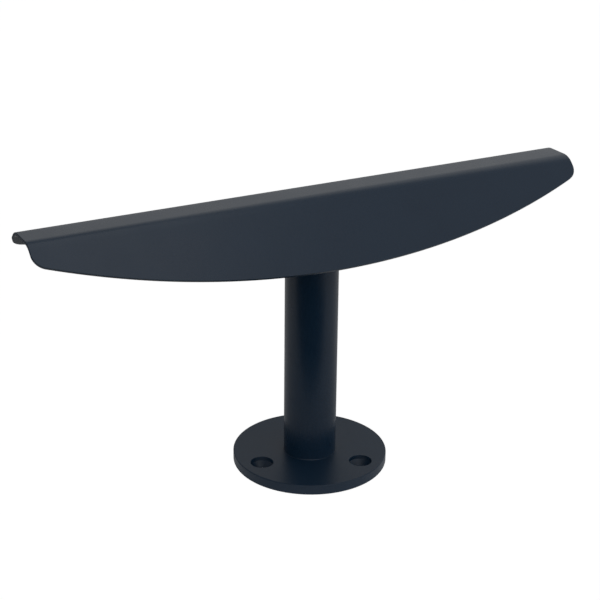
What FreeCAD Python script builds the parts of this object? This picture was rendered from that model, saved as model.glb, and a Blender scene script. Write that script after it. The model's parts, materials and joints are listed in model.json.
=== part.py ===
"""Pool handrail: a folded sheet saddle rail on a round post with a bolt-down base flange.

A welded handrail for the edge of a pool. One piece of sheet is cut with a crescent along each side and
folded twice, so that it has a narrow flat top and two flanks that splay outwards. A round tube, coped at its
top to the underside of the sheet, carries it and sockets into a thick round flange at the foot. Three welds
hold the pieces together: rail to tube, tube to the top of the flange, and tube to the flange's bore.

Frame: millimetres, origin at the centre of the flange's underside, +Z up, +X along the rail.
"""

import FreeCAD, Part
import math
import os

import Sketcher
from FreeCAD import Placement, Rotation, Vector

doc = FreeCAD.newDocument("PoolHandrail")


# ---------------------------------------------------------------------------------------------------------
# Driving dimensions, in millimetres and degrees
# ---------------------------------------------------------------------------------------------------------

DIMENSIONS = (
    # The folded rail
    ("rail_length", 556),          # end to end along X
    ("rail_height", 277),          # deck to the flat top
    ("top_width", 20),             # flat between the two bends
    ("bend_radius", 18),           # outside of each fold
    ("flank_angle", 45),           # flank from the vertical
    ("flank_depth", 66),           # bend to the crescent's lowest point, along the flank
    ("crescent_radius", 762),      # lower edge of a flank, in the flank's own plane
    ("corner_radius", 15),         # each end of that edge
    ("sheet_thickness", 3),
    ("sheet_edge_break", 0.6),     # rounding of the sheet's cut edge
    # The post
    ("post_diameter", 50.8),
    ("post_wall", 3),
    # The base flange
    ("flange_diameter", 150),
    ("flange_thickness", 10),
    ("flange_edge_break", 1),      # rounding of the rim
    ("socket_clearance", 0.2),     # radial, between the tube and the flange's bore
    ("socket_recess", 3.5),        # tube end above the flange's underside
    # The bolt holes
    ("bolt_circle", 110),
    ("bolt_count", 3),
    ("bolt_angle", -55),           # first hole from +X, about +Z
    ("bolt_bore", 13),
    ("sink_diameter", 22),
    ("sink_lead", 4),              # straight wall above the cone
    ("sink_angle", 90),            # included angle of the cone
    # The welds, each the leg of its bead
    ("rail_bead", 4),
    ("foot_bead", 1.2),
    ("socket_bead", 2.5),
)

sizes = doc.addObject("Spreadsheet::Sheet", "Sizes")
for row, (alias, value) in enumerate(DIMENSIONS, start=1):
    sizes.set(f"A{row}", alias)
    sizes.set(f"B{row}", str(value))
    sizes.setAlias(f"B{row}", alias)
doc.recompute()


def size(alias):
    """Return the value of a driving dimension."""
    return float(sizes.get(alias))


# ---------------------------------------------------------------------------------------------------------
# Sketch helpers
# ---------------------------------------------------------------------------------------------------------

START, END, CENTRE = 1, 2, 3       # a curve's points, as a constraint names them
AXIS_X, AXIS_Y = -1, -2            # a sketch's own axes
ORIGIN = (AXIS_X, START)           # a sketch's own origin
Z_AXIS = Vector(0, 0, 1)
TOLERANCE = 1e-4                   # millimetres, between two measures of the same thing
JOINT_SAMPLES = 7                  # points that show where an edge runs


def new_body(label):
    """Add an empty PartDesign body."""
    body = doc.addObject("PartDesign::Body", label)
    body.Label = label
    return body


def origin_feature(body, role):
    """Return one of the body's own origin planes or axes."""
    for feature in body.Origin.OriginFeatures:
        if feature.Role == role:
            return feature
    raise ValueError(f"{body.Label} has no {role}")


def new_sketch(body, name, role):
    """Add an empty sketch on one of the body's own origin planes."""
    sketch = body.newObject("Sketcher::SketchObject", name)
    sketch.AttachmentSupport = [(origin_feature(body, role), "")]
    sketch.MapMode = "FlatFace"
    return sketch


def line(start, end):
    """Return a straight sketch segment between two (x, y) points."""
    return Part.LineSegment(Vector(*start, 0), Vector(*end, 0))


def arc(centre, radius, start_angle, end_angle):
    """Return a sketch arc that runs anticlockwise between two angles in degrees."""
    circle = Part.Circle(Vector(*centre, 0), Z_AXIS, radius)
    return Part.ArcOfCircle(circle, math.radians(start_angle), math.radians(end_angle))


def constrain(sketch, *terms):
    """Add a geometric constraint."""
    sketch.addConstraint(Sketcher.Constraint(*terms))


def drive(sketch, name, expression, *terms):
    """Add a dimension, name it and bind it to the spreadsheet."""
    index = sketch.addConstraint(Sketcher.Constraint(*terms))
    sketch.renameConstraint(index, name)
    sketch.setExpression(f"Constraints.{name}", expression)


def feature(body, kind, name, **properties):
    """Add a PartDesign feature and make it the body's tip."""
    made = body.newObject(kind, name)
    for key, value in properties.items():
        setattr(made, key, value)
    body.Tip = made
    doc.recompute()
    return made


def removed(before, after):
    """Check that a cutting feature really took material away."""
    if after.Shape.Volume > before.Shape.Volume - TOLERANCE:
        raise RuntimeError(f"{after.Label} cut nothing")


def add_fold(sketch, tag, inset, reach):
    """Draw half of the fold's line, from the mid-plane outwards: flat top, bend and flank.

    The line lies inside the rail's outer face by the driving dimension that inset names, or on that
    face if inset is None. The flank runs for the length that reach, an expression of one driving
    dimension, gives. Returns the index of the first of the three curves and the flank's far end.
    """
    first = sketch.GeometryCount
    depth = size(inset) if inset else 0
    depth_text = f" - Sizes.{inset}" if inset else ""
    half_flat = size("top_width") / 2
    top = size("rail_height") - depth
    radius = size("bend_radius") - depth
    slope = size("flank_angle")
    length = size(reach)
    across = math.sin(math.radians(slope))
    down = math.cos(math.radians(slope))
    bend_end = (half_flat + radius * down, top - radius + radius * across)
    flank_end = (bend_end[0] + length * across, bend_end[1] - length * down)

    sketch.addGeometry([
        line((0, top), (half_flat, top)),
        arc((half_flat, top - radius), radius, slope, 90),
        line(bend_end, flank_end),
    ])
    constrain(sketch, "PointOnObject", first, START, AXIS_Y)
    constrain(sketch, "Horizontal", first)
    constrain(sketch, "Tangent", first, END, first + 1, END)
    constrain(sketch, "Tangent", first + 1, START, first + 2, START)
    drive(sketch, f"{tag}_flat", "Sizes.top_width / 2", "DistanceX", first, START, first, END, half_flat)
    drive(sketch, f"{tag}_top", f"Sizes.rail_height{depth_text}", "DistanceY", *ORIGIN, first, START, top)
    drive(sketch, f"{tag}_bend", f"Sizes.bend_radius{depth_text}", "Radius", first + 1, radius)
    drive(sketch, f"{tag}_slope", "Sizes.flank_angle - 90", "Angle", first + 2, math.radians(slope - 90))
    drive(sketch, f"{tag}_reach", f"Sizes.{reach}", "Distance", first + 2, length)
    return first, flank_end


def add_under_rail_region(body, name):
    """Sketch half of the region above the rail's underside, closed by a lid above the rail's top."""
    sketch = new_sketch(body, name, "YZ_Plane")
    fold, flank_end = add_fold(sketch, "under", "sheet_thickness", "post_diameter")
    under_top = size("rail_height") - size("sheet_thickness")
    lid = size("rail_height") + size("sheet_thickness")
    first = sketch.GeometryCount
    sketch.addGeometry([
        line((0, under_top), (0, lid)),
        line((0, lid), (flank_end[0], lid)),
        line((flank_end[0], lid), flank_end),
    ])
    constrain(sketch, "Coincident", first, START, fold, START)
    constrain(sketch, "Coincident", first, END, first + 1, START)
    constrain(sketch, "Coincident", first + 1, END, first + 2, START)
    constrain(sketch, "Coincident", first + 2, END, fold + 2, END)
    constrain(sketch, "Vertical", first)
    constrain(sketch, "Horizontal", first + 1)
    constrain(sketch, "Vertical", first + 2)
    drive(sketch, "lid", "Sizes.rail_height + Sizes.sheet_thickness", "DistanceY", *ORIGIN, first, END, lid)
    doc.recompute()
    return sketch


def add_circle(sketch, name, diameter_expression, diameter):
    """Draw a circle about the sketch's origin."""
    index = sketch.addGeometry(Part.Circle(Vector(0, 0, 0), Z_AXIS, diameter / 2))
    constrain(sketch, "Coincident", index, CENTRE, *ORIGIN)
    drive(sketch, name, diameter_expression, "Diameter", index, diameter)


def edge_names(made, wanted):
    """Name the edges of a feature's shape for which wanted(edge) is true."""
    return [f"Edge{i}" for i, edge in enumerate(made.Shape.Edges, start=1) if wanted(edge)]


def is_straight(edge):
    """Tell a straight edge from a curved one."""
    return edge.Curve.TypeId == "Part::GeomLine"


def mirror_about_mid_plane(body, name, originals):
    """Mirror features from the +Y half to the -Y half."""
    plane = origin_feature(body, "XZ_Plane")
    return feature(body, "PartDesign::Mirrored", name, Originals=originals, MirrorPlane=(plane, [""]))


# ---------------------------------------------------------------------------------------------------------
# Rail shell: one sheet, cut with a crescent along each side and folded twice
# ---------------------------------------------------------------------------------------------------------

def make_rail_shell():
    """Pad half of the folded section, cut its crescent, mirror both and round the cut edge."""
    body = new_body("rail_shell")

    section = new_sketch(body, "FoldSection", "YZ_Plane")
    outer, outer_end = add_fold(section, "outer", None, "flank_depth")
    inner, inner_end = add_fold(section, "inner", "sheet_thickness", "flank_depth")
    top = size("rail_height")
    first = section.GeometryCount
    section.addGeometry([line((0, top - size("sheet_thickness")), (0, top)), line(outer_end, inner_end)])
    constrain(section, "Coincident", first, START, inner, START)
    constrain(section, "Coincident", first, END, outer, START)
    constrain(section, "Coincident", first + 1, START, outer + 2, END)
    constrain(section, "Coincident", first + 1, END, inner + 2, END)
    doc.recompute()

    sheet = feature(body, "PartDesign::Pad", "HalfSheet", Profile=section, SideType="Symmetric")
    sheet.setExpression("Length", "Sizes.rail_length")
    doc.recompute()

    # The flank's own plane: sketch X along the rail, sketch Y up the flank from the end of the bend.
    slope = math.radians(size("flank_angle"))
    crescent = new_sketch(body, "Crescent", "XY_Plane")
    bend_y = size("top_width") / 2 + size("bend_radius") * math.cos(slope)
    bend_z = top - size("bend_radius") * (1 - math.sin(slope))
    flank_turn = Rotation(Vector(1, 0, 0), 90 + size("flank_angle"))
    crescent.AttachmentOffset = Placement(Vector(0, bend_y, bend_z), flank_turn)
    bend_end_y = "Sizes.top_width / 2 + Sizes.bend_radius * cos(Sizes.flank_angle * 1 deg)"
    bend_end_z = "Sizes.rail_height - Sizes.bend_radius * (1 - sin(Sizes.flank_angle * 1 deg))"
    crescent.setExpression("AttachmentOffset.Base.y", bend_end_y)
    crescent.setExpression("AttachmentOffset.Base.z", bend_end_z)
    crescent.setExpression("AttachmentOffset.Rotation.Angle", "90 + Sizes.flank_angle")
    draw_crescent_waste(crescent)
    cut = feature(body, "PartDesign::Pocket", "CrescentCut", Profile=crescent, SideType="Symmetric")
    cut.setExpression("Length", "4 * Sizes.sheet_thickness")
    doc.recompute()
    removed(sheet, cut)

    whole = mirror_about_mid_plane(body, "BothFlanks", [sheet, cut])

    def on_outline(edge):
        """Tell an edge of the sheet's outline from a bend line and from an edge across the sheet."""
        bend_line = is_straight(edge) and edge.Length > size("rail_length") / 2
        across_sheet = is_straight(edge) and abs(edge.Length - size("sheet_thickness")) < TOLERANCE
        return not bend_line and not across_sheet

    names = edge_names(whole, on_outline)
    rounded = feature(body, "PartDesign::Fillet", "CutEdge", Base=(whole, names))
    rounded.setExpression("Radius", "Sizes.sheet_edge_break")
    doc.recompute()
    removed(whole, rounded)
    return body


def draw_crescent_waste(sketch):
    """Draw what is cut off one flank: everything below its crescent lower edge."""
    half = size("rail_length") / 2
    radius = size("crescent_radius")
    corner = size("corner_radius")
    depth = size("flank_depth")
    margin = 2 * size("sheet_thickness")
    centre_y = radius - depth
    corner_x = half - corner
    corner_y = centre_y - math.sqrt((radius - corner) ** 2 - corner_x ** 2)
    swing = math.degrees(math.atan2(corner_x, centre_y - corner_y))
    low = -depth - margin
    far = half + margin

    left, edge, right = 0, 1, 2
    sketch.addGeometry([
        arc((-corner_x, corner_y), corner, 180, 270 - swing),
        arc((0, centre_y), radius, 270 - swing, 270 + swing),
        arc((corner_x, corner_y), corner, 270 + swing, 360),
        line((half, corner_y), (far, corner_y)),
        line((far, corner_y), (far, low)),
        line((far, low), (-far, low)),
        line((-far, low), (-far, corner_y)),
        line((-far, corner_y), (-half, corner_y)),
    ])
    constrain(sketch, "Tangent", left, END, edge, START)
    constrain(sketch, "Tangent", edge, END, right, START)
    constrain(sketch, "Coincident", right, END, 3, START)
    for index in range(3, 7):
        constrain(sketch, "Coincident", index, END, index + 1, START)
    constrain(sketch, "Coincident", 7, END, left, START)
    for index in (3, 5, 7):
        constrain(sketch, "Horizontal", index)
    for index in (4, 6):
        constrain(sketch, "Vertical", index)
    constrain(sketch, "PointOnObject", edge, CENTRE, AXIS_Y)
    constrain(sketch, "Symmetric", left, CENTRE, right, CENTRE, AXIS_Y)
    constrain(sketch, "Horizontal", right, CENTRE, right, END)
    constrain(sketch, "Horizontal", left, CENTRE, left, START)
    drive(sketch, "crescent", "Sizes.crescent_radius", "Radius", edge, radius)
    drive(sketch, "corner", "Sizes.corner_radius", "Radius", right, corner)
    drive(sketch, "crescent_centre", "Sizes.crescent_radius - Sizes.flank_depth",
          "DistanceY", *ORIGIN, edge, CENTRE, centre_y)
    drive(sketch, "half_length", "Sizes.rail_length / 2", "DistanceX", *ORIGIN, right, END, half)
    drive(sketch, "waste_end", "2 * Sizes.sheet_thickness", "DistanceX", 3, START, 3, END, margin)
    drive(sketch, "waste_start", "2 * Sizes.sheet_thickness", "DistanceX", 7, START, 7, END, margin)
    drive(sketch, "waste_low", "Sizes.flank_depth + 2 * Sizes.sheet_thickness",
          "DistanceY", 5, START, *ORIGIN, -low)
    doc.recompute()


# ---------------------------------------------------------------------------------------------------------
# Post: a round tube, coped to the rail's underside
# ---------------------------------------------------------------------------------------------------------

def make_post_tube():
    """Pad the tube past the rail and cut its top to the rail's underside."""
    body = new_body("post_tube")
    ring = new_sketch(body, "TubeRing", "XY_Plane")
    ring.setExpression("AttachmentOffset.Base.z", "Sizes.socket_recess")
    outside = size("post_diameter")
    inside = outside - 2 * size("post_wall")
    add_circle(ring, "outside", "Sizes.post_diameter", outside)
    add_circle(ring, "inside", "Sizes.post_diameter - 2 * Sizes.post_wall", inside)
    doc.recompute()
    tube = feature(body, "PartDesign::Pad", "Tube", Profile=ring)
    tube.setExpression("Length", "Sizes.rail_height - Sizes.socket_recess")
    doc.recompute()

    region = add_under_rail_region(body, "CopeSection")
    cope = feature(body, "PartDesign::Pocket", "HalfCope", Profile=region, SideType="Symmetric")
    cope.setExpression("Length", "2 * Sizes.post_diameter")
    doc.recompute()
    removed(tube, cope)
    whole = mirror_about_mid_plane(body, "Cope", [cope])
    removed(cope, whole)
    return body


# ---------------------------------------------------------------------------------------------------------
# Base flange: a thick disc with a socket bore and countersunk bolt holes
# ---------------------------------------------------------------------------------------------------------

def make_base_flange():
    """Pad the disc with its bore, sink the bolt holes and round the rims."""
    body = new_body("base_flange")
    disc_outline = new_sketch(body, "DiscOutline", "XY_Plane")
    bore = size("post_diameter") + 2 * size("socket_clearance")
    add_circle(disc_outline, "outside", "Sizes.flange_diameter", size("flange_diameter"))
    add_circle(disc_outline, "socket", "Sizes.post_diameter + 2 * Sizes.socket_clearance", bore)
    doc.recompute()
    disc = feature(body, "PartDesign::Pad", "Disc", Profile=disc_outline)
    disc.setExpression("Length", "Sizes.flange_thickness")
    doc.recompute()

    rim_length = math.pi * size("flange_diameter")
    rims = edge_names(disc, lambda edge: abs(edge.Length - rim_length) < TOLERANCE)
    rounded = feature(body, "PartDesign::Fillet", "RoundedRim", Base=(disc, rims))
    rounded.setExpression("Radius", "Sizes.flange_edge_break")
    doc.recompute()
    removed(disc, rounded)

    place = new_sketch(body, "BoltPlace", "XY_Plane")
    place.setExpression("AttachmentOffset.Base.z", "Sizes.flange_thickness")
    radius = size("bolt_circle") / 2
    angle = math.radians(size("bolt_angle"))
    centre = (radius * math.cos(angle), radius * math.sin(angle))
    place.addGeometry(Part.Circle(Vector(*centre, 0), Z_AXIS, size("bolt_bore") / 2))
    along = "Sizes.bolt_circle / 2 * {}(Sizes.bolt_angle * 1 deg)"
    drive(place, "place_x", along.format("cos"), "DistanceX", *ORIGIN, 0, CENTRE, centre[0])
    drive(place, "place_y", along.format("sin"), "DistanceY", *ORIGIN, 0, CENTRE, centre[1])
    drive(place, "bore", "Sizes.bolt_bore", "Diameter", 0, size("bolt_bore"))
    doc.recompute()
    hole = feature(body, "PartDesign::Hole", "BoltHole", Profile=place)
    hole.DepthType = "ThroughAll"
    hole.HoleCutType = "Counterdrill"
    hole.HoleCutCustomValues = True
    hole.setExpression("Diameter", "Sizes.bolt_bore")
    hole.setExpression("HoleCutDiameter", "Sizes.sink_diameter")
    hole.setExpression("HoleCutDepth", "Sizes.sink_lead")
    hole.setExpression("HoleCutCountersinkAngle", "Sizes.sink_angle")
    doc.recompute()
    removed(rounded, hole)
    ring = feature(
        body, "PartDesign::PolarPattern", "BoltHoles",
        Originals=[hole], Axis=(origin_feature(body, "Z_Axis"), [""]), Angle=360)
    ring.setExpression("Occurrences", "Sizes.bolt_count")
    doc.recompute()
    removed(hole, ring)
    return body


# ---------------------------------------------------------------------------------------------------------
# Welds
# ---------------------------------------------------------------------------------------------------------

def make_turned_weld(label, corner, toes, leg_alias, corner_expressions):
    """Revolve a concave bead about Z.

    corner is the (radius, height) where the two welded faces meet. toes is the (radial, vertical)
    direction in which the bead's legs run away from it, as signs.
    """
    body = new_body(label)
    leg = size(leg_alias)
    centre = (corner[0] + toes[0] * leg, corner[1] + toes[1] * leg)
    arc_start = 180 if toes[0] > 0 else 0
    section = new_sketch(body, "BeadSection", "XZ_Plane")
    flat, upright, face = 0, 1, 2
    section.addGeometry([
        line(corner, (centre[0], corner[1])),
        line((corner[0], centre[1]), corner),
        arc(centre, leg, arc_start, arc_start + 90),
    ])
    constrain(section, "Coincident", flat, START, upright, END)
    constrain(section, "Coincident", flat, END, face, END)
    constrain(section, "Coincident", upright, START, face, START)
    constrain(section, "Horizontal", flat)
    constrain(section, "Vertical", upright)
    constrain(section, "Horizontal", face, CENTRE, face, START)
    constrain(section, "Vertical", face, CENTRE, face, END)
    drive(section, "corner_radius", corner_expressions[0], "DistanceX", *ORIGIN, flat, START, corner[0])
    drive(section, "corner_height", corner_expressions[1], "DistanceY", *ORIGIN, flat, START, corner[1])
    drive(section, "leg", f"Sizes.{leg_alias}", "Radius", face, leg)
    doc.recompute()
    axis = (origin_feature(body, "Z_Axis"), [""])
    feature(body, "PartDesign::Revolution", "Bead", Profile=section, ReferenceAxis=axis, Angle=360)
    return body


def make_foot_weld():
    """Make the bead round the tube on top of the flange."""
    corner = (size("post_diameter") / 2, size("flange_thickness"))
    expressions = ("Sizes.post_diameter / 2", "Sizes.flange_thickness")
    return make_turned_weld("foot_weld", corner, (1, 1), "foot_bead", expressions)


def make_socket_weld():
    """Make the bead between the tube's lower end and the flange's bore."""
    corner = (size("post_diameter") / 2 + size("socket_clearance"), size("socket_recess"))
    expressions = ("Sizes.post_diameter / 2 + Sizes.socket_clearance", "Sizes.socket_recess")
    return make_turned_weld("socket_weld", corner, (-1, -1), "socket_bead", expressions)


def make_rail_weld():
    """Make the bead that follows the coped tube's mouth round the underside of the rail.

    A solid post and the region above the rail's underside are joined, the joint between them is
    filleted, and then both are cut away again, which leaves only the fillet.
    """
    body = new_body("rail_weld")
    outside = size("post_diameter")

    region = add_under_rail_region(body, "RailRegion")
    half_roof = feature(body, "PartDesign::Pad", "HalfRoof", Profile=region, SideType="Symmetric")
    half_roof.setExpression("Length", "2 * Sizes.post_diameter")
    doc.recompute()
    roof = mirror_about_mid_plane(body, "Roof", [half_roof])

    core_outline = new_sketch(body, "CoreOutline", "XY_Plane")
    add_circle(core_outline, "outside", "Sizes.post_diameter", outside)
    doc.recompute()
    core = feature(body, "PartDesign::Pad", "Core", Profile=core_outline)
    core.setExpression("Length", "Sizes.rail_height")
    doc.recompute()

    def on_joint(edge):
        """Tell where the solid post meets the rail's underside."""
        points = edge.discretize(JOINT_SAMPLES)
        on_post = all(abs(math.hypot(point.x, point.y) - outside / 2) < TOLERANCE for point in points)
        above_foot = points[0].z > size("rail_height") / 2
        return on_post and above_foot and not is_straight(edge)

    bead = feature(body, "PartDesign::Fillet", "Bead", Base=(core, edge_names(core, on_joint)))
    bead.setExpression("Radius", "Sizes.rail_bead")
    doc.recompute()

    no_core = feature(body, "PartDesign::Pocket", "WithoutCore", Profile=core_outline, Type="ThroughAll")
    no_core.Reversed = True
    doc.recompute()
    removed(bead, no_core)
    half_left = feature(body, "PartDesign::Pocket", "WithoutHalfRoof", Profile=region, SideType="Symmetric")
    half_left.setExpression("Length", "3 * Sizes.post_diameter")
    doc.recompute()
    removed(no_core, half_left)
    whole = mirror_about_mid_plane(body, "WithoutRoof", [half_left])
    removed(half_left, whole)
    return body


# ---------------------------------------------------------------------------------------------------------
# Build, check and write
# ---------------------------------------------------------------------------------------------------------

SUB_PARTS = (
    make_rail_shell(),
    make_post_tube(),
    make_base_flange(),
    make_rail_weld(),
    make_foot_weld(),
    make_socket_weld(),
)

doc.recompute()

for item in doc.Objects:
    if "Invalid" in item.State or "Error" in item.State:
        raise RuntimeError(f"{item.Label} failed: {item.State}")

for part in SUB_PARTS:
    shape = part.Shape
    if shape.isNull() or not shape.isValid() or len(shape.Solids) != 1:
        raise RuntimeError(f"{part.Label} is not one valid solid")

os.makedirs("parts", exist_ok=True)
for part in SUB_PARTS:
    part.Shape.exportStep(f"parts/{part.Label}.step")
    print(f"{part.Label}: {part.Shape.Volume:.0f} mm3")
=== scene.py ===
"""Looks of the pool handrail: a folded sheet saddle rail on a round post with a bolt-down base flange.

Every visible piece is a fine mesh built here, in metres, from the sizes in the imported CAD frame. All share
one satin blue-black powder coat. Nothing moves, so every piece rides on the one body, root.
"""

import json
import math

import bpy
import bmesh
from mathutils import Matrix, Vector, noise
from mathutils.geometry import delaunay_2d_cdt


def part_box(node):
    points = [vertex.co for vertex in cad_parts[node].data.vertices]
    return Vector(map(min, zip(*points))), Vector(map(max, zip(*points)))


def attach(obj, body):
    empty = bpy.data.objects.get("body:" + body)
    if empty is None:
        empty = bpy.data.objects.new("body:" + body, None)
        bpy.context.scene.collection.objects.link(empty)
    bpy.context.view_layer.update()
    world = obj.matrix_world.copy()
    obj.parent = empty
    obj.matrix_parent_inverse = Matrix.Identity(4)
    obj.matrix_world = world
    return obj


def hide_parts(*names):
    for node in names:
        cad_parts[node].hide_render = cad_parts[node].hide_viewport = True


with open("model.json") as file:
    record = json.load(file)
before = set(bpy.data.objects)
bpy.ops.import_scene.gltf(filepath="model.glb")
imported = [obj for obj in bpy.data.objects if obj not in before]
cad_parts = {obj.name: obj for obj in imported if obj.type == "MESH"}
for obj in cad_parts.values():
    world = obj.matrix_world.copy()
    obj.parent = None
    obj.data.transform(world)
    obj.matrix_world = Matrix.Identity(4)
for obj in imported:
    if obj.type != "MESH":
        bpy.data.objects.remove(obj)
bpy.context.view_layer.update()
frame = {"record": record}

# ---------------------------------------------------------------------------------------------------------
# Sizes, in metres: from the frame where it holds them, otherwise named here
# ---------------------------------------------------------------------------------------------------------

MM = 0.001

rail_low, rail_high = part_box("rail_shell")
post_low, post_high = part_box("post_tube")
flange_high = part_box("base_flange")[1]
foot_low, foot_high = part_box("foot_weld")
socket_low, socket_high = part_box("socket_weld")
mounts = {mount["name"]: mount for mount in frame["record"]["mounts"]}
bolts = mounts["deck_bolts"]["dims"]

HALF_LENGTH = rail_high.x                  # of the rail
RAIL_TOP = rail_high.z
HALF_FLAT = 10 * MM                        # half of the flat between the two bends
BEND_RADIUS = 18 * MM                      # outside of each fold
BEND_TURN = math.radians(45)               # how far each bend turns the sheet down
FLANK_DEPTH = 66 * MM                      # bend to the crescent's lowest point, along the flank
CRESCENT_RADIUS = 762 * MM
CORNER_RADIUS = 15 * MM
SHEET = 3 * MM
SHEET_EDGE = 0.4 * MM                      # rounding of the coated cut edge

POST_RADIUS = post_high.x
POST_WALL = 3 * MM
POST_FOOT = post_low.z

FLANGE_RADIUS = flange_high.x
FLANGE_TOP = flange_high.z
FLANGE_EDGE = 1.0 * MM                     # rounding of the rim
SOCKET_RADIUS = POST_RADIUS + 0.2 * MM     # the tube has 0.2 mm to spare all round

BOLT_CIRCLE = bolts["pcd_mm"] / 2 * MM
BOLT_COUNT = bolts["count"]
BOLT_RADIUS = bolts["hole_r_mm"] * MM
BOLT_TURN = math.radians(-55)              # first hole, from +X about +Z
SINK_RADIUS = 11 * MM
SINK_LEAD = 4 * MM                         # straight wall above the cone
SINK_CONE = math.radians(45)               # the cone's side from its axis
SINK_EDGE = 0.35 * MM                      # rounding of the sink's mouth

FOOT_BEAD = foot_high.z - foot_low.z       # largest leg of the bead on top of the flange
FOOT_BEAD_THIN = 0.18                      # share of that leg left where the bead is dressed away
FOOT_BEAD_SWELL = 0.77                     # share added where the run closes
FOOT_BEAD_UNEVEN = 0.05                    # share by which it wanders
CLOSING_SPREAD = math.radians(20)          # how far the thick end of the foot's bead reaches
SOCKET_BEAD = socket_high.z - socket_low.z
SOCKET_BULGE = 0.35                        # how far the socket's bead stands out, as a share of its leg
SOCKET_RIPPLES = 60
RAIL_BEAD = 4 * MM                         # leg of the bead under the rail
RAIL_HOLLOW = 0.12                         # how far the rail's bead is drawn in towards its root
RAIL_RIPPLES = 72
RIPPLE_DEPTH = 0.12                        # share of the leg between a ripple's crest and its trough

FRONT = Vector((-0.48, -0.877, 0))         # level, from the post towards the camera
SIDE = Vector((0.877, -0.48, 0))           # level, towards the camera's right

# ---------------------------------------------------------------------------------------------------------
# Powder coat
# ---------------------------------------------------------------------------------------------------------

COAT_DARK = (0.0038, 0.0218, 0.0495)
COAT_LIGHT = (0.0050, 0.0246, 0.0540)
COAT_SPECULAR = 0.5
COAT_ROUGHNESS = 0.29
GLOSS_DRIFT = 0.02                         # roughness gained or lost slowly along the surface
GLOSS_GRAIN = 0.03                         # roughness gained or lost from grain to grain
FLANGE_DULLING = 0.10                      # roughness added on the flange, dulled by feet and pool water
DULLING_FADE = 10 * MM                     # height over which it fades out, up the post
PEEL_HEIGHT = 0.012 * MM                   # of the orange peel
FINE_HEIGHT = 0.003 * MM                   # of the finer grain

CLOUD_SIZE = 45 * MM                       # sizes of the noise that each effect follows
DRIFT_SIZE = 30 * MM
GRAIN_SIZE = 0.35 * MM
PEEL_SIZE = 1.6 * MM
FINE_SIZE = 0.3 * MM
NOISE_LOW = 0.3                            # nearly all of a noise lies between these
NOISE_HIGH = 0.7


def powder_coat():
    """Make the satin blue-black powder coat, with faint clouds, orange peel and a grain in its gloss."""
    material = bpy.data.materials.new("satin_blue_black_powder_coat")
    material.use_nodes = True
    nodes = material.node_tree.nodes
    links = material.node_tree.links
    shader = nodes["Principled BSDF"]
    place = nodes.new("ShaderNodeTexCoord").outputs["Object"]

    def noise_texture(size, detail=2):
        """Return a noise over the object whose features are about size across."""
        texture = nodes.new("ShaderNodeTexNoise")
        texture.inputs["Scale"].default_value = 1 / size
        texture.inputs["Detail"].default_value = detail
        links.new(place, texture.inputs["Vector"])
        return texture.outputs["Fac"]

    def spread(value, low, high):
        """Spread a noise over the range from low to high."""
        mapped = nodes.new("ShaderNodeMapRange")
        mapped.inputs["From Min"].default_value = NOISE_LOW
        mapped.inputs["From Max"].default_value = NOISE_HIGH
        mapped.inputs["To Min"].default_value = low
        mapped.inputs["To Max"].default_value = high
        links.new(value, mapped.inputs["Value"])
        return mapped.outputs["Result"]

    # Colour: a blue-black with faint cloudiness where the coat is thicker or thinner
    tint = nodes.new("ShaderNodeMix")
    tint.data_type = "RGBA"
    tint.inputs["A"].default_value = (*COAT_DARK, 1)
    tint.inputs["B"].default_value = (*COAT_LIGHT, 1)
    links.new(spread(noise_texture(CLOUD_SIZE, detail=3), 0, 1), tint.inputs["Factor"])
    links.new(tint.outputs["Result"], shader.inputs["Base Color"])

    # Gloss: satin, with a slow drift and a fine grain, duller on the flange
    glossiest = COAT_ROUGHNESS - GLOSS_DRIFT
    dullest = COAT_ROUGHNESS + GLOSS_DRIFT
    drift = spread(noise_texture(DRIFT_SIZE), glossiest, dullest)
    grain = spread(noise_texture(GRAIN_SIZE), -GLOSS_GRAIN, GLOSS_GRAIN)
    gloss = nodes.new("ShaderNodeMath")
    gloss.operation = "ADD"
    links.new(drift, gloss.inputs[0])
    links.new(grain, gloss.inputs[1])
    height = nodes.new("ShaderNodeSeparateXYZ")
    links.new(place, height.inputs["Vector"])
    dulling = nodes.new("ShaderNodeMapRange")
    dulling.inputs["From Min"].default_value = FLANGE_TOP
    dulling.inputs["From Max"].default_value = FLANGE_TOP + DULLING_FADE
    dulling.inputs["To Min"].default_value = FLANGE_DULLING
    dulling.inputs["To Max"].default_value = 0
    links.new(height.outputs["Z"], dulling.inputs["Value"])
    worn = nodes.new("ShaderNodeMath")
    worn.operation = "ADD"
    links.new(gloss.outputs["Value"], worn.inputs[0])
    links.new(dulling.outputs["Result"], worn.inputs[1])
    links.new(worn.outputs["Value"], shader.inputs["Roughness"])
    shader.inputs["Specular IOR Level"].default_value = COAT_SPECULAR

    # Surface: orange peel about a millimetre and a half across, and a finer grain
    peel = nodes.new("ShaderNodeBump")
    peel.inputs["Distance"].default_value = PEEL_HEIGHT
    links.new(noise_texture(PEEL_SIZE), peel.inputs["Height"])
    fine = nodes.new("ShaderNodeBump")
    fine.inputs["Distance"].default_value = FINE_HEIGHT
    links.new(noise_texture(FINE_SIZE), fine.inputs["Height"])
    links.new(peel.outputs["Normal"], fine.inputs["Normal"])
    links.new(fine.outputs["Normal"], shader.inputs["Normal"])
    return material


coat = powder_coat()


# ---------------------------------------------------------------------------------------------------------
# Mesh helpers
# ---------------------------------------------------------------------------------------------------------

SHARP = math.radians(30)                   # a sharper turn between two faces is a crease


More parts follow.
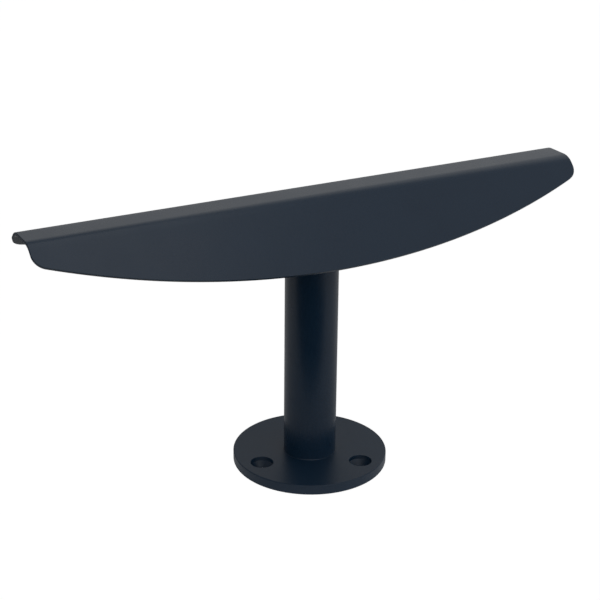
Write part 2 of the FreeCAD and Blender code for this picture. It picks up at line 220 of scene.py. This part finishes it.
def new_piece(name, vertices, faces, node):
    """Make a smooth-shaded closed mesh that stands for a CAD node."""
    mesh = bpy.data.meshes.new(name)
    mesh.from_pydata([tuple(vertex) for vertex in vertices], [], faces)
    shaped = bmesh.new()
    shaped.from_mesh(mesh)
    bmesh.ops.recalc_face_normals(shaped, faces=shaped.faces)
    for face in shaped.faces:
        face.smooth = True
    for edge in shaped.edges:
        edge.smooth = edge.calc_face_angle(0) < SHARP
    shaped.to_mesh(mesh)
    shaped.free()
    piece = bpy.data.objects.new(name, mesh)
    bpy.context.scene.collection.objects.link(piece)
    normals = piece.modifiers.new("flat_faces_stay_flat", "WEIGHTED_NORMAL")
    normals.keep_sharp = True
    piece.data.materials.append(coat)
    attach(piece, "root")
    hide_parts(node)


def add_ring(vertices, points):
    """Add a closed ring of points and return their indices."""
    first = len(vertices)
    vertices.extend(points)
    return list(range(first, len(vertices)))


def bridge(faces, ring_a, ring_b):
    """Join two closed rings of the same length with quads."""
    count = len(ring_a)
    for i in range(count):
        j = (i + 1) % count
        faces.append((ring_a[i], ring_a[j], ring_b[j], ring_b[i]))


def circle(count, radius, height, centre=(0.0, 0.0)):
    """Return points evenly round a level circle."""
    step = math.tau / count
    return [
        Vector((centre[0] + radius * math.cos(i * step), centre[1] + radius * math.sin(i * step), height))
        for i in range(count)
    ]


def turned(vertices, faces, profile, count, centre=(0.0, 0.0)):
    """Add the surface that a (radius, height) profile sweeps round a vertical axis; return its rings."""
    rings = [add_ring(vertices, circle(count, radius, height, centre)) for radius, height in profile]
    for ring_a, ring_b in zip(rings, rings[1:]):
        bridge(faces, ring_a, ring_b)
    return rings


def rounded_corner(centre, radius, start, end, steps):
    """Return (radius, height) points along an arc of a profile, its angles in degrees."""
    points = []
    for i in range(steps + 1):
        angle = math.radians(start + (end - start) * i / steps)
        points.append((centre[0] + radius * math.cos(angle), centre[1] + radius * math.sin(angle)))
    return points


# ---------------------------------------------------------------------------------------------------------
# Rail shell
# ---------------------------------------------------------------------------------------------------------

BEND_LENGTH = BEND_RADIUS * BEND_TURN       # along the outside of a bend
FLANK_START = HALF_FLAT + BEND_LENGTH       # from the middle of the top to the flank, along the sheet


def folded(along, across, depth):
    """Return the place of a point of the sheet after folding.

    along and across are measured on the sheet's flat outside, from its middle, and depth below it.
    """
    side = math.copysign(1, across)
    across = abs(across)
    if across < HALF_FLAT:
        return Vector((along, side * across, RAIL_TOP - depth))
    turn = min((across - HALF_FLAT) / BEND_RADIUS, BEND_TURN)
    radius = BEND_RADIUS - depth
    past = max(across - FLANK_START, 0)
    y = HALF_FLAT + radius * math.sin(turn) + past * math.cos(turn)
    z = RAIL_TOP - BEND_RADIUS + radius * math.cos(turn) - past * math.sin(turn)
    return Vector((along, side * y, z))


def crescent_outline(inset):
    """Return the (along, across) points of one flank's edge, inset from the cut edge, from -X to +X."""
    corner_x = HALF_LENGTH - CORNER_RADIUS
    centre_across = FLANK_START + FLANK_DEPTH - CRESCENT_RADIUS
    reach = math.sqrt((CRESCENT_RADIUS - CORNER_RADIUS) ** 2 - corner_x ** 2)
    corner_across = centre_across + reach
    swing = math.atan2(corner_x, reach)
    corner_steps = 14
    edge_steps = 110
    points = []
    for i in range(corner_steps):
        angle = (math.pi / 2 - swing) * i / corner_steps
        points.append((
            -corner_x - (CORNER_RADIUS - inset) * math.cos(angle),
            corner_across + (CORNER_RADIUS - inset) * math.sin(angle),
        ))
    for i in range(edge_steps + 1):
        angle = swing * (2 * i / edge_steps - 1)
        points.append((
            (CRESCENT_RADIUS - inset) * math.sin(angle),
            centre_across + (CRESCENT_RADIUS - inset) * math.cos(angle),
        ))
    points.extend((-along, across) for along, across in reversed(points[:corner_steps]))
    return points


def sheet_columns():
    """Return columns of (along, across) points that cover the sheet, from -X to +X."""
    flat_rows = 4
    bend_rows = 12
    flank_rows = 14
    upper = [HALF_FLAT * i / flat_rows for i in range(flat_rows)]
    upper += [HALF_FLAT + BEND_LENGTH * i / bend_rows for i in range(bend_rows)]
    columns = []
    for along, across in crescent_outline(SHEET_EDGE):
        flank = across - FLANK_START
        half = upper + [FLANK_START + flank * i / flank_rows for i in range(flank_rows + 1)]
        mirrored = [-value for value in reversed(half[1:])]
        columns.append([(along, value) for value in mirrored + half])
    return columns


def sheet_rim(columns):
    """Return the (column, row) places once round the sheet's rim, and the flat step outwards at each.

    The rim runs along one edge, across an end, back along the other edge and across the other end.
    """
    last = len(columns) - 1
    top = len(columns[0]) - 1
    rim = [(i, top) for i in range(last)]
    rim += [(last, j) for j in range(top, 0, -1)]
    rim += [(i, 0) for i in range(last, 0, -1)]
    rim += [(0, j) for j in range(top)]
    insets = crescent_outline(SHEET_EDGE)
    edges = crescent_outline(0)
    outward = []
    for i, j in rim:
        if j in (0, top):
            side = 1 if j == top else -1
            step = (edges[i][0] - insets[i][0], edges[i][1] - insets[i][1])
            outward.append((step[0] / SHEET_EDGE, side * step[1] / SHEET_EDGE))
        else:
            outward.append((1 if i == last else -1, 0))
    return rim, outward


def edge_band():
    """Return the (out, depth) points of the cut edge's section, from the sheet's outside inwards."""
    steps = 5
    band = []
    for i in range(1, steps + 1):
        angle = math.pi / 2 * i / steps
        band.append((SHEET_EDGE * math.sin(angle), SHEET_EDGE * (1 - math.cos(angle))))
    return band + [(out, SHEET - down) for out, down in reversed(band)]


def make_rail():
    """Build the folded sheet with its rounded, coated edge."""
    columns = sheet_columns()
    vertices = []
    faces = []
    grids = []
    for depth in (0, SHEET):
        grid = []
        for column in columns:
            grid.append(add_ring(vertices, [folded(along, across, depth) for along, across in column]))
        for left, right in zip(grid, grid[1:]):
            for i in range(len(left) - 1):
                faces.append((left[i], left[i + 1], right[i + 1], right[i]))
        grids.append(grid)

    rim, outward = sheet_rim(columns)
    previous = [grids[0][i][j] for i, j in rim]
    for out, depth in edge_band():
        points = []
        for (i, j), (step_along, step_across) in zip(rim, outward):
            along, across = columns[i][j]
            points.append(folded(along + step_along * out, across + step_across * out, depth))
        ring = add_ring(vertices, points)
        bridge(faces, previous, ring)
        previous = ring
    bridge(faces, previous, [grids[1][i][j] for i, j in rim])
    new_piece("folded_rail", vertices, faces, "rail_shell")


# ---------------------------------------------------------------------------------------------------------
# Post
# ---------------------------------------------------------------------------------------------------------

def underside(across):
    """Return the height of the rail's underside at a distance from its mid-plane."""
    radius = BEND_RADIUS - SHEET
    past_flat = abs(across) - HALF_FLAT
    centre = RAIL_TOP - BEND_RADIUS
    if past_flat <= 0:
        return centre + radius
    if past_flat < radius * math.sin(BEND_TURN):
        return centre + math.sqrt(radius ** 2 - past_flat ** 2)
    past_bend = past_flat - radius * math.sin(BEND_TURN)
    return centre + radius * math.cos(BEND_TURN) - past_bend * math.tan(BEND_TURN)


def coped_ring(count, radius):
    """Return points round the post's axis that lie on the rail's underside."""
    return [Vector((point.x, point.y, underside(point.y))) for point in circle(count, radius, 0)]


def make_post():
    """Build the tube: outer wall, coped mouth, bore and foot, with a small break at the foot."""
    count = 192
    wall_rows = 12
    inner = POST_RADIUS - POST_WALL
    foot_break = 0.4 * MM
    vertices = []
    faces = []
    rise = rail_low.z - POST_FOOT
    levels = [POST_FOOT + foot_break + rise * i / wall_rows for i in range(wall_rows + 1)]
    outside = turned(vertices, faces, [(POST_RADIUS, level) for level in levels], count)
    mouth_out = add_ring(vertices, coped_ring(count, POST_RADIUS))
    mouth_in = add_ring(vertices, coped_ring(count, inner))
    inside = turned(vertices, faces, [(inner, level) for level in levels], count)
    bridge(faces, outside[-1], mouth_out)
    bridge(faces, mouth_out, mouth_in)
    bridge(faces, mouth_in, inside[-1])
    foot_out = add_ring(vertices, circle(count, POST_RADIUS - foot_break, POST_FOOT))
    foot_in = add_ring(vertices, circle(count, inner + foot_break, POST_FOOT))
    bridge(faces, outside[0], foot_out)
    bridge(faces, foot_out, foot_in)
    bridge(faces, foot_in, inside[0])
    new_piece("coped_post", vertices, faces, "post_tube")


# ---------------------------------------------------------------------------------------------------------
# Base flange
# ---------------------------------------------------------------------------------------------------------

def bolt_centres():
    """Return the (x, y) places of the bolt holes."""
    centres = []
    for i in range(BOLT_COUNT):
        angle = BOLT_TURN + math.tau * i / BOLT_COUNT
        centres.append((BOLT_CIRCLE * math.cos(angle), BOLT_CIRCLE * math.sin(angle)))
    return centres


def fill_level_face(vertices, faces, outer, holes):
    """Fill the level face between an outer ring and the rings of its holes with triangles.

    Each hole is its ring of indices, its centre and its radius.
    """
    whole_hull = 0                         # kind of triangulation: it covers the holes too
    same_point = 1e-9                      # points nearer than this count as one
    rings = [outer] + [hole[0] for hole in holes]
    indices = [index for ring in rings for index in ring]
    edges = []
    first = 0
    for ring in rings:
        edges += [(first + i, first + (i + 1) % len(ring)) for i in range(len(ring))]
        first += len(ring)
    flat = [vertices[index].xy for index in indices]
    _, _, triangles, sources, _, _ = delaunay_2d_cdt(flat, edges, [], whole_hull, same_point)
    for triangle in triangles:
        corners = [sources[i][0] for i in triangle]
        middle = sum((flat[corner] for corner in corners), Vector((0, 0))) / 3
        if all((middle - Vector(centre)).length > radius for _, centre, radius in holes):
            faces.append(tuple(indices[corner] for corner in corners))


def make_flange():
    """Build the disc with its rounded rim, its socket bore and its sunk bolt holes."""
    rim_count = 238                        # keeps points off the Y axis, where the CAD box is narrower
    rim_steps = 6
    bore_count = 128
    hole_count = 72
    mouth_steps = 4
    vertices = []
    faces = []
    edge = FLANGE_EDGE
    top = FLANGE_TOP
    rim = rounded_corner((FLANGE_RADIUS - edge, top - edge), edge, 90, 0, rim_steps)
    rim += rounded_corner((FLANGE_RADIUS - edge, edge), edge, 0, -90, rim_steps)
    rim_rings = turned(vertices, faces, rim, rim_count)
    bore_rings = turned(vertices, faces, [(SOCKET_RADIUS, top), (SOCKET_RADIUS, 0)], bore_count)

    sink_floor = top - SINK_LEAD - (SINK_RADIUS - BOLT_RADIUS) / math.tan(SINK_CONE)
    mouth = SINK_RADIUS + SINK_EDGE
    hole_break = 0.3 * MM
    profile = rounded_corner((mouth, top - SINK_EDGE), SINK_EDGE, 90, 180, mouth_steps)
    profile += [(SINK_RADIUS, top - SINK_LEAD), (BOLT_RADIUS, sink_floor), (BOLT_RADIUS, hole_break)]
    profile += [(BOLT_RADIUS + hole_break, 0)]
    upper = [(bore_rings[0], (0, 0), SOCKET_RADIUS)]
    lower = [(bore_rings[-1], (0, 0), SOCKET_RADIUS)]
    for centre in bolt_centres():
        rings = turned(vertices, faces, profile, hole_count, centre)
        upper.append((rings[0], centre, mouth))
        lower.append((rings[-1], centre, BOLT_RADIUS + hole_break))
    fill_level_face(vertices, faces, rim_rings[0], upper)
    fill_level_face(vertices, faces, rim_rings[-1], lower)
    new_piece("drilled_flange", vertices, faces, "base_flange")


# ---------------------------------------------------------------------------------------------------------
# Welds
# ---------------------------------------------------------------------------------------------------------

def ripple(turn, count):
    """Return the share of its leg that a bead has at an angle: overlapping puddles, a little uneven."""
    wander = 3                             # cells of the noise in the bead's radius
    phase = (turn / math.tau * count) % 1
    place = Vector((math.cos(turn), math.sin(turn), 0)) * wander
    return 1 - RIPPLE_DEPTH * phase ** 2 + 0.5 * RIPPLE_DEPTH * noise.noise(place)


def new_bead(name, rings, node):
    """Make a bead from closed rings of points, given in order round its section."""
    vertices = []
    faces = []
    indices = [add_ring(vertices, ring) for ring in rings]
    for ring_a, ring_b in zip(indices, indices[1:] + indices[:1]):
        bridge(faces, ring_a, ring_b)
    new_piece(name, vertices, faces, node)


def make_foot_weld():
    """Build the dressed bead on top of the flange, a hollow fillet, fullest where the run closes."""
    count = 320
    steps = 6
    wander = 4                             # cells of the noise in the bead's radius
    rings = []
    for i in range(steps + 1):
        angle = math.radians(180 + 90 * i / steps)
        points = []
        for k in range(count):
            turn = math.tau * k / count
            out = Vector((math.cos(turn), math.sin(turn), 0))
            closing = math.exp(-(out.angle(FRONT) / CLOSING_SPREAD) ** 2)
            uneven = FOOT_BEAD_UNEVEN * noise.noise(out * wander)
            leg = FOOT_BEAD * (FOOT_BEAD_THIN + FOOT_BEAD_SWELL * closing + uneven)
            radius = POST_RADIUS + leg + leg * math.cos(angle)
            height = FLANGE_TOP + leg + leg * math.sin(angle)
            points.append(Vector((radius * math.cos(turn), radius * math.sin(turn), height)))
        rings.append(points)
    rings.append(circle(count, POST_RADIUS, FLANGE_TOP))
    new_bead("foot_bead", rings, "foot_weld")


def make_socket_weld():
    """Build the rippled bead between the tube's end and the flange's bore."""
    count = 480
    steps = 6
    rings = []
    for i in range(steps + 1):
        angle = math.radians(90 * i / steps)
        points = []
        for k in range(count):
            turn = math.tau * k / count
            leg = SOCKET_BEAD * ripple(turn, SOCKET_RIPPLES)
            bulge = SOCKET_BULGE * leg * math.sin(2 * angle)
            radius = SOCKET_RADIUS - leg * (1 - math.cos(angle)) - bulge * math.sin(angle)
            height = socket_high.z - leg * (1 - math.sin(angle)) - bulge * math.cos(angle)
            points.append(Vector((radius * math.cos(turn), radius * math.sin(turn), height)))
        rings.append(points)
    rings.append(circle(count, SOCKET_RADIUS, socket_high.z))
    new_bead("socket_bead", rings, "socket_weld")


def make_rail_weld():
    """Build the rippled bead that follows the post's coped mouth round the rail's underside."""
    count = 576
    steps = 7
    rings = [[] for _ in range(steps + 2)]
    for k in range(count):
        turn = math.tau * k / count
        out = Vector((math.cos(turn), math.sin(turn), 0))
        root = Vector((*(out.xy * POST_RADIUS), underside(out.y * POST_RADIUS)))
        leg = RAIL_BEAD * ripple(turn, RAIL_RIPPLES)
        wall_toe = root - Vector((0, 0, leg))
        far = out * (POST_RADIUS + leg)
        roof_toe = Vector((far.x, far.y, underside(far.y)))
        rings[0].append(root)
        for i in range(steps + 1):
            share = i / steps
            hollow = math.sin(math.pi * share) * RAIL_HOLLOW
            point = wall_toe.lerp(roof_toe, share)
            rings[i + 1].append(point.lerp(root, hollow))
    new_bead("rail_bead", rings, "rail_weld")


make_rail()
make_post()
make_flange()
make_foot_weld()
make_socket_weld()
make_rail_weld()


# ---------------------------------------------------------------------------------------------------------
# Stage, light and camera
# ---------------------------------------------------------------------------------------------------------

FLOOR_SIZE = 14
FLOOR_ALBEDO = 0.5
FLOOR_GLOW = 0.87                          # with the light that falls on it, the camera sees it white
FLOOR_LEVEL = -0.3 * MM                    # the sheets lie just under the flange, one above another
TABLE_SIZE = 5
TABLE_ALBEDO = 0.78                        # of the pale table that the coat reflects
TABLE_LEVEL = -0.2 * MM
FLAG_START = 0.2                           # from the post's axis to the black flag on that table
FLAG_LENGTH = 1.5
FLAG_WIDTH = 1.6
FLAG_ASIDE = 0.4                           # how far the flag's middle is to the camera's left
FLAG_LEVEL = -0.1 * MM
WING_PLACE = (-0.85, 0.75)                 # a second black flag, which the sheet's left end reflects
WING_WIDTH = 0.75
WING_LENGTH = 0.9
CARD_RADIUS = 93 * MM                      # of the lit card under the flange, which only the rim reflects
CARD_GLOW = 0.15
CARD_LEVEL = -0.05 * MM
BRIGHT_SIDE = (0.36, -0.93, 0)             # the side of the room that is bright
ROOM_DIM = (0.137, 0.140, 0.145)
ROOM_BRIGHT = (0.600, 0.598, 0.605)

CAMERA_YAW = math.radians(-28.2)
CAMERA_PITCH = math.radians(22.66)
CAMERA_ROLL = math.radians(0.58)
CAMERA_DISTANCE = 1.4226
CAMERA_LENS = 89.90                        # focal length in mm
CAMERA_SENSOR = 36                         # width in mm
AIM_HEIGHT = 0.150
AIM_ASIDE = -0.01087                       # from the post's axis to the aim, towards the camera's right
AIM_ABOVE = 0.01632                        # from the aim's height, along the camera's up


def paper(name, albedo, glow=0.0):
    """Make matt paper, from black to white; glow is the light it gives off."""
    material = bpy.data.materials.new(name)
    material.use_nodes = True
    shader = material.node_tree.nodes["Principled BSDF"]
    shader.inputs["Base Color"].default_value = (albedo, albedo, albedo, 1)
    shader.inputs["Roughness"].default_value = 1
    shader.inputs["Specular IOR Level"].default_value = 0
    shader.inputs["Emission Color"].default_value = (1, 1, 1, 1)
    shader.inputs["Emission Strength"].default_value = glow
    return material


def lay_sheet(name, material, width, length, centre, height, turn=0.0):
    """Lay a level rectangular sheet."""
    place = (centre.x, centre.y, height)
    bpy.ops.mesh.primitive_plane_add(size=1, location=place, rotation=(0, 0, turn))
    sheet = bpy.context.object
    sheet.scale = (width, length, 1)
    sheet.name = name
    sheet.data.materials.append(material)
    return sheet


def make_floor():
    """Lay the white floor that is seen, and the table, flags and card that only the coat reflects."""
    middle = Vector((0, 0))
    white = paper("white_paper", FLOOR_ALBEDO, FLOOR_GLOW)
    seen = lay_sheet("studio_floor", white, FLOOR_SIZE, FLOOR_SIZE, middle, FLOOR_LEVEL)
    seen.visible_diffuse = False
    seen.visible_glossy = False
    grey = paper("grey_paper", TABLE_ALBEDO)
    table = lay_sheet("studio_table", grey, TABLE_SIZE, TABLE_SIZE, middle, TABLE_LEVEL)
    table.visible_camera = False
    turn = math.atan2(SIDE.y, SIDE.x)
    place = FRONT.xy * (FLAG_START + FLAG_LENGTH / 2) - SIDE.xy * FLAG_ASIDE
    black = paper("black_flag", 0.0)
    flag = lay_sheet("studio_flag", black, FLAG_WIDTH, FLAG_LENGTH, place, FLAG_LEVEL, turn)
    flag.visible_camera = False
    wing = lay_sheet("studio_wing", black, WING_WIDTH, WING_LENGTH, Vector(WING_PLACE), FLAG_LEVEL)
    wing.visible_camera = False
    bpy.ops.mesh.primitive_circle_add(vertices=96, radius=CARD_RADIUS, fill_type="NGON")
    card = bpy.context.object
    card.name = "studio_card"
    card.location.z = CARD_LEVEL
    card.data.materials.append(paper("lit_card", TABLE_ALBEDO, CARD_GLOW))
    card.visible_camera = False


def make_world():
    """Surround the object with a dim room that is bright on one side; the camera sees it white."""
    world = bpy.data.worlds.new("studio_room")
    bpy.context.scene.world = world
    world.use_nodes = True
    nodes = world.node_tree.nodes
    links = world.node_tree.links
    side = nodes.new("ShaderNodeVectorMath")
    side.operation = "DOT_PRODUCT"
    side.inputs[1].default_value = BRIGHT_SIDE
    links.new(nodes.new("ShaderNodeTexCoord").outputs["Generated"], side.inputs[0])
    share = nodes.new("ShaderNodeMapRange")
    share.inputs["From Min"].default_value = -1
    links.new(side.outputs["Value"], share.inputs["Value"])
    colour = nodes.new("ShaderNodeMix")
    colour.data_type = "RGBA"
    colour.inputs["A"].default_value = (*ROOM_DIM, 1)
    colour.inputs["B"].default_value = (*ROOM_BRIGHT, 1)
    links.new(share.outputs["Result"], colour.inputs["Factor"])
    room = nodes["Background"]
    room.inputs["Strength"].default_value = 1
    links.new(colour.outputs["Result"], room.inputs["Color"])
    white = nodes.new("ShaderNodeBackground")
    white.inputs["Color"].default_value = (1, 1, 1, 1)
    seen = nodes.new("ShaderNodeMixShader")
    links.new(nodes.new("ShaderNodeLightPath").outputs["Is Camera Ray"], seen.inputs["Fac"])
    links.new(room.outputs["Background"], seen.inputs[1])
    links.new(white.outputs["Background"], seen.inputs[2])
    links.new(seen.outputs["Shader"], nodes["World Output"].inputs["Surface"])


def make_softbox(name, place, aim, width, height, radiance, colour):
    """Hang a rectangular softbox at place, facing aim, as bright as paper of that radiance."""
    light = bpy.data.lights.new(name, "AREA")
    light.shape = "RECTANGLE"
    light.size = width
    light.size_y = height
    light.energy = radiance * width * height * math.pi
    light.color = colour
    lamp = bpy.data.objects.new(name, light)
    lamp.location = place
    lamp.rotation_euler = (aim - place).to_track_quat("-Z", "Y").to_euler()
    lamp.visible_camera = False
    bpy.context.scene.collection.objects.link(lamp)


def make_camera():
    """Set the camera at the photograph's viewing angle."""
    level = Matrix.Rotation(CAMERA_YAW, 3, "Z") @ Matrix.Rotation(math.pi / 2 - CAMERA_PITCH, 3, "X")
    turned_by_roll = level @ Matrix.Rotation(CAMERA_ROLL, 3, "Z")
    right, up, back = level.col
    camera = bpy.data.cameras.new("camera")
    camera.lens = CAMERA_LENS
    camera.sensor_width = CAMERA_SENSOR
    holder = bpy.data.objects.new("camera", camera)
    aim = Vector((0, 0, AIM_HEIGHT)) + right * AIM_ASIDE + up * AIM_ABOVE
    holder.matrix_world = Matrix.Translation(aim + back * CAMERA_DISTANCE) @ turned_by_roll.to_4x4()
    bpy.context.scene.collection.objects.link(holder)
    bpy.context.scene.camera = holder


make_floor()
make_world()
make_softbox(
    "overhead", place=Vector((0.25, -0.1, 1.75)), aim=Vector((0.25, 0, 0)),
    width=0.6, height=1.8, radiance=0.556, colour=(1, 1, 1))
make_softbox(
    "behind", place=FRONT * -0.45 + Vector((0, 0, 0.525)), aim=Vector((0, 0, 0.3)),
    width=1.3, height=0.43, radiance=0.335, colour=(1, 0.98, 0.93))
make_camera()
bpy.context.scene.view_settings.view_transform = "Standard"
